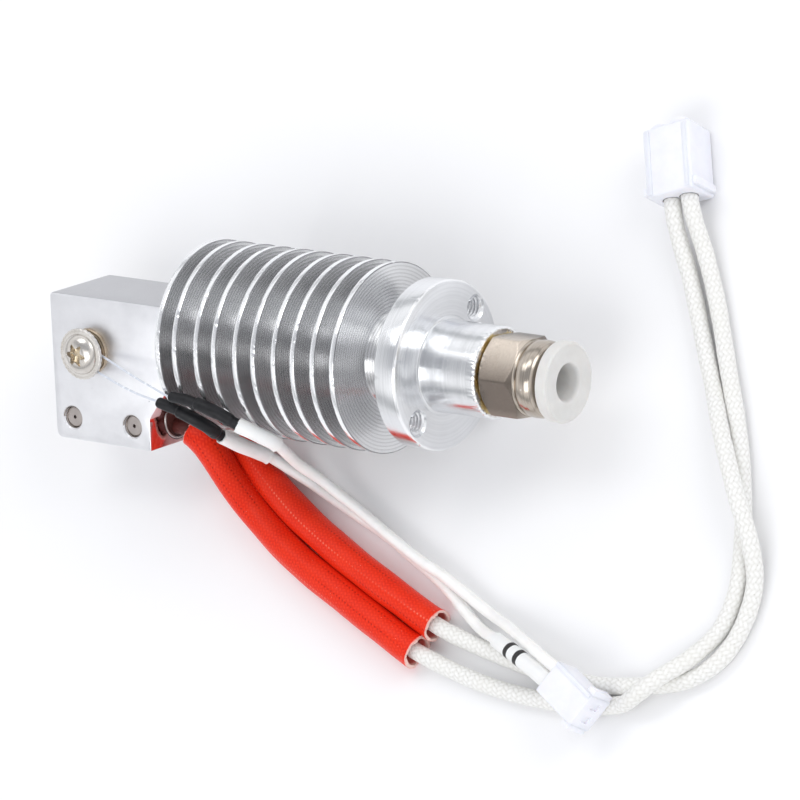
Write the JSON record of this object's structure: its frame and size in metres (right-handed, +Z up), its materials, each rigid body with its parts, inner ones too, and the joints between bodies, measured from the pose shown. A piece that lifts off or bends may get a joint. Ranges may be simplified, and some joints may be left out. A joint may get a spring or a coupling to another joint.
{
  "type": "hotend assembly",
  "caption": "Finned heatsink with flange and push-fit tube inlet, joined by a heat break to a heater block with cartridge, sensor and sleeved leads ending in plugs.",
  "frame": {"origin": "on the ground under the middle of the rigid body (leads left out)", "axes": "+X along the filament path from nozzle to tube inlet, +Z up as it lies, +Y to the side away from the heater"},
  "size_m": [0.1129, 0.0802, 0.0252],
  "materials": {
    "turned_aluminium": "bright turned",
    "block_aluminium": "fine matte",
    "steel": "turned",
    "dark_steel": "black oxide",
    "nickel_steel": "bright nickel",
    "nickelled_brass": "warm nickel plate",
    "brass": "bright",
    "tinned_brass": "tin plate",
    "liner_plastic": "waxy",
    "cream_plastic": "satin",
    "white_nylon": "satin",
    "white_insulation": "satin",
    "black_shrink": "satin",
    "black_rubber": "matte",
    "ceramic_seal": "matte",
    "bead_glass": "glassy",
    "glass_braid": "braided glass yarn",
    "red_sleeving": "silicone-coated braid"
  },
  "bodies": {
    "hotend": {"heatsink": "turned_aluminium", "heat_break": "steel", "heater_block": "block_aluminium", "nozzle": "brass", "ptfe_liner": "liner_plastic", "heater_cartridge": "steel", "cartridge_end_seal": "ceramic_seal", "cartridge_set_screws": "dark_steel", "sensor_clamp_screw": "nickel_steel", "sensor_upper_washer": "nickel_steel", "sensor_lower_washer": "nickel_steel", "sensor_bead": "bead_glass", "sensor_legs": "glass_braid", "fitting_body": "nickelled_brass", "fitting_o_ring": "black_rubber", "fitting_seat_ring": "liner_plastic", "fitting_retainer": "brass", "heater_lead_front": "glass_braid", "heater_lead_back": "glass_braid", "heater_sleeve_front": "red_sleeving", "heater_sleeve_back": "red_sleeving", "sensor_lead_front": "white_insulation", "sensor_lead_back": "white_insulation", "splice_sleeve_front": "black_shrink", "splice_sleeve_back": "black_shrink", "joint_sleeve_front": "white_insulation", "joint_sleeve_back": "white_insulation", "marker_sleeve": "white_insulation", "heater_plug_housing": "white_nylon", "heater_plug_contacts": "tinned_brass", "sensor_plug_housing": "white_nylon", "sensor_plug_contacts": "tinned_brass"},
    "jaws": {"fitting_jaw_ring": "steel"},
    "collar": {"fitting_collar": "cream_plastic"}
  },
  "joints": [
    {"name": "jaw_spin", "type": "hinge", "parent": "hotend", "child": "jaws", "pos_m": [0.0367, 0.00213, 0.0125], "axis": [1, 0, 0], "continuous": true},
    {"name": "collar_press", "type": "slide", "parent": "jaws", "child": "collar", "axis": [-1, 0, 0], "range_m": [0, 0.0006], "stiffness_N_per_m": 400}
  ]
}
